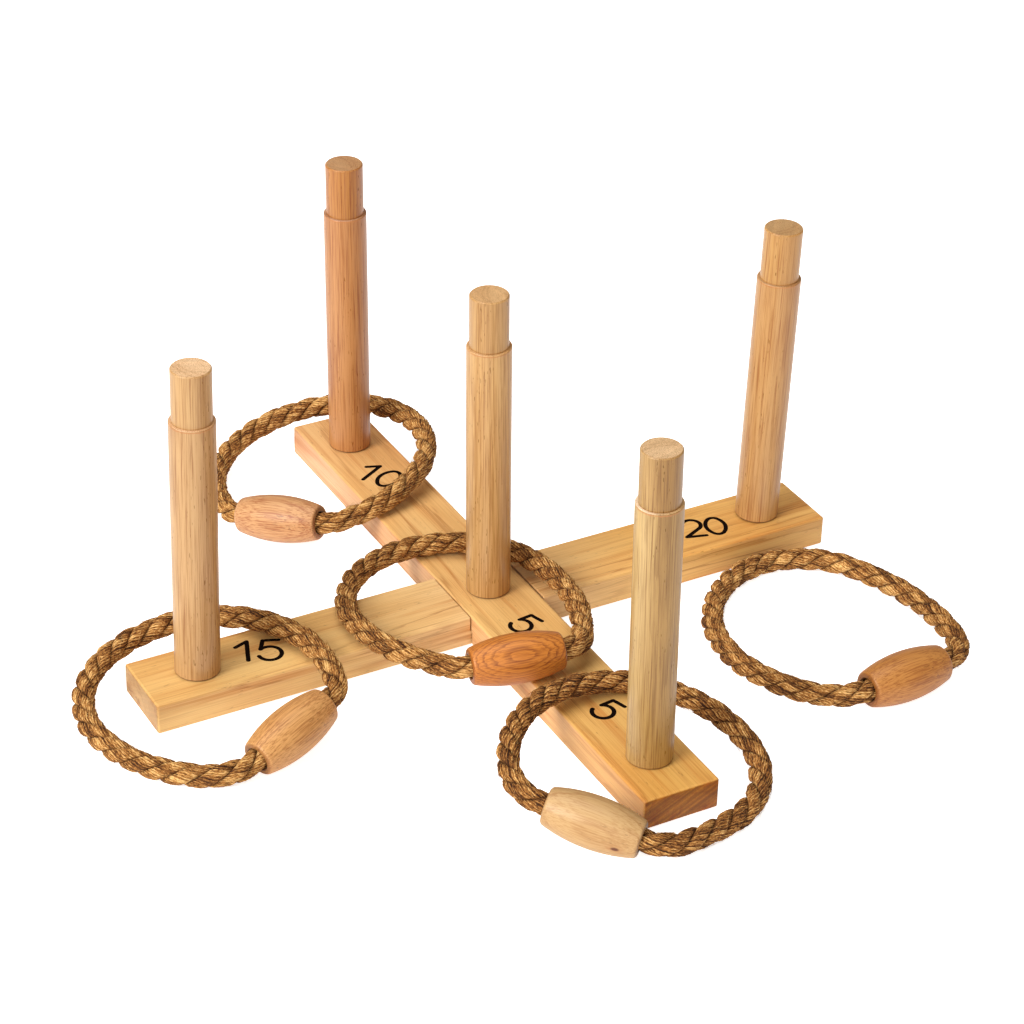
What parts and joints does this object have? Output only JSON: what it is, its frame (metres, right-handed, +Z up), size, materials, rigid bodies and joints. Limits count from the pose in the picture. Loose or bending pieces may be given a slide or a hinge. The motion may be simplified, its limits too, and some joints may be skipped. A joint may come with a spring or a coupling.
{
  "type": "ring toss set",
  "caption": "Wooden ring toss game: two half-lapped bars, stepped pegs that lean a little in their holes, score numbers, and twisted rope rings with barrel-shaped wooden beads.",
  "frame": {"origin": "centre of the crossing, on the underside of the lower bar, where the set rests on the ground", "axes": "+X along the lower bar from the 15 peg to the 20 peg, +Y along the upper bar towards the 10 peg, +Z up along the pegs"},
  "size_m": [0.6734, 0.676, 0.2916],
  "materials": {
    "bar_wood": "planed and lightly oiled, satin",
    "peg_wood": "turned and sanded, satin",
    "bead_wood": "turned and sanded, satin",
    "jute_rope": "three-strand twisted natural fibre, matte"
  },
  "bodies": {
    "lower_bar": {"lower_bar": "bar_wood"},
    "upper_bar": {"upper_bar": "bar_wood"},
    "peg_15": {"peg_15": "peg_wood"},
    "peg_20": {"peg_20": "peg_wood"},
    "peg_10": {"peg_10": "peg_wood"},
    "peg_5": {"peg_5": "peg_wood"},
    "peg_centre": {"peg_centre": "peg_wood"},
    "ring_10": {"bead_10": "bead_wood", "rope_10": "jute_rope"},
    "ring_15": {"bead_15": "bead_wood", "rope_15": "jute_rope"},
    "ring_centre": {"bead_centre": "bead_wood", "rope_centre": "jute_rope"},
    "ring_5": {"bead_5": "bead_wood", "rope_5": "jute_rope"},
    "ring_free": {"bead_free": "bead_wood", "rope_free": "jute_rope"}
  },
  "joints": [
    {"name": "upper_bar_lift", "type": "slide", "parent": "lower_bar", "child": "upper_bar", "axis": [0, 0, 1], "range_m": [0, 0.04]},
    {"name": "peg_15_pull", "type": "slide", "parent": "lower_bar", "child": "peg_15", "axis": [0, 0, 1], "range_m": [0, 0.06]},
    {"name": "peg_20_pull", "type": "slide", "parent": "lower_bar", "child": "peg_20", "axis": [0, 0, 1], "range_m": [0, 0.06]},
    {"name": "peg_10_pull", "type": "slide", "parent": "upper_bar", "child": "peg_10", "axis": [0, 0, 1], "range_m": [0, 0.06]},
    {"name": "peg_5_pull", "type": "slide", "parent": "upper_bar", "child": "peg_5", "axis": [0, 0, 1], "range_m": [0, 0.06]},
    {"name": "peg_centre_pull", "type": "slide", "parent": "upper_bar", "child": "peg_centre", "axis": [0, 0, 1], "range_m": [0, 0.06]},
    {"name": "ring_15_lift", "type": "slide", "parent": "lower_bar", "child": "ring_15", "axis": [0, 0, 1], "range_m": [0, 0.32]},
    {"name": "ring_free_lift", "type": "slide", "parent": "lower_bar", "child": "ring_free", "axis": [0, 0, 1], "range_m": [0, 0.32]},
    {"name": "ring_10_lift", "type": "slide", "parent": "upper_bar", "child": "ring_10", "axis": [0, 0, 1], "range_m": [0, 0.32]},
    {"name": "ring_5_lift", "type": "slide", "parent": "upper_bar", "child": "ring_5", "axis": [0, 0, 1], "range_m": [0, 0.32]},
    {"name": "ring_centre_lift", "type": "slide", "parent": "upper_bar", "child": "ring_centre", "axis": [0, 0, 1], "range_m": [0, 0.32]}
  ]
}
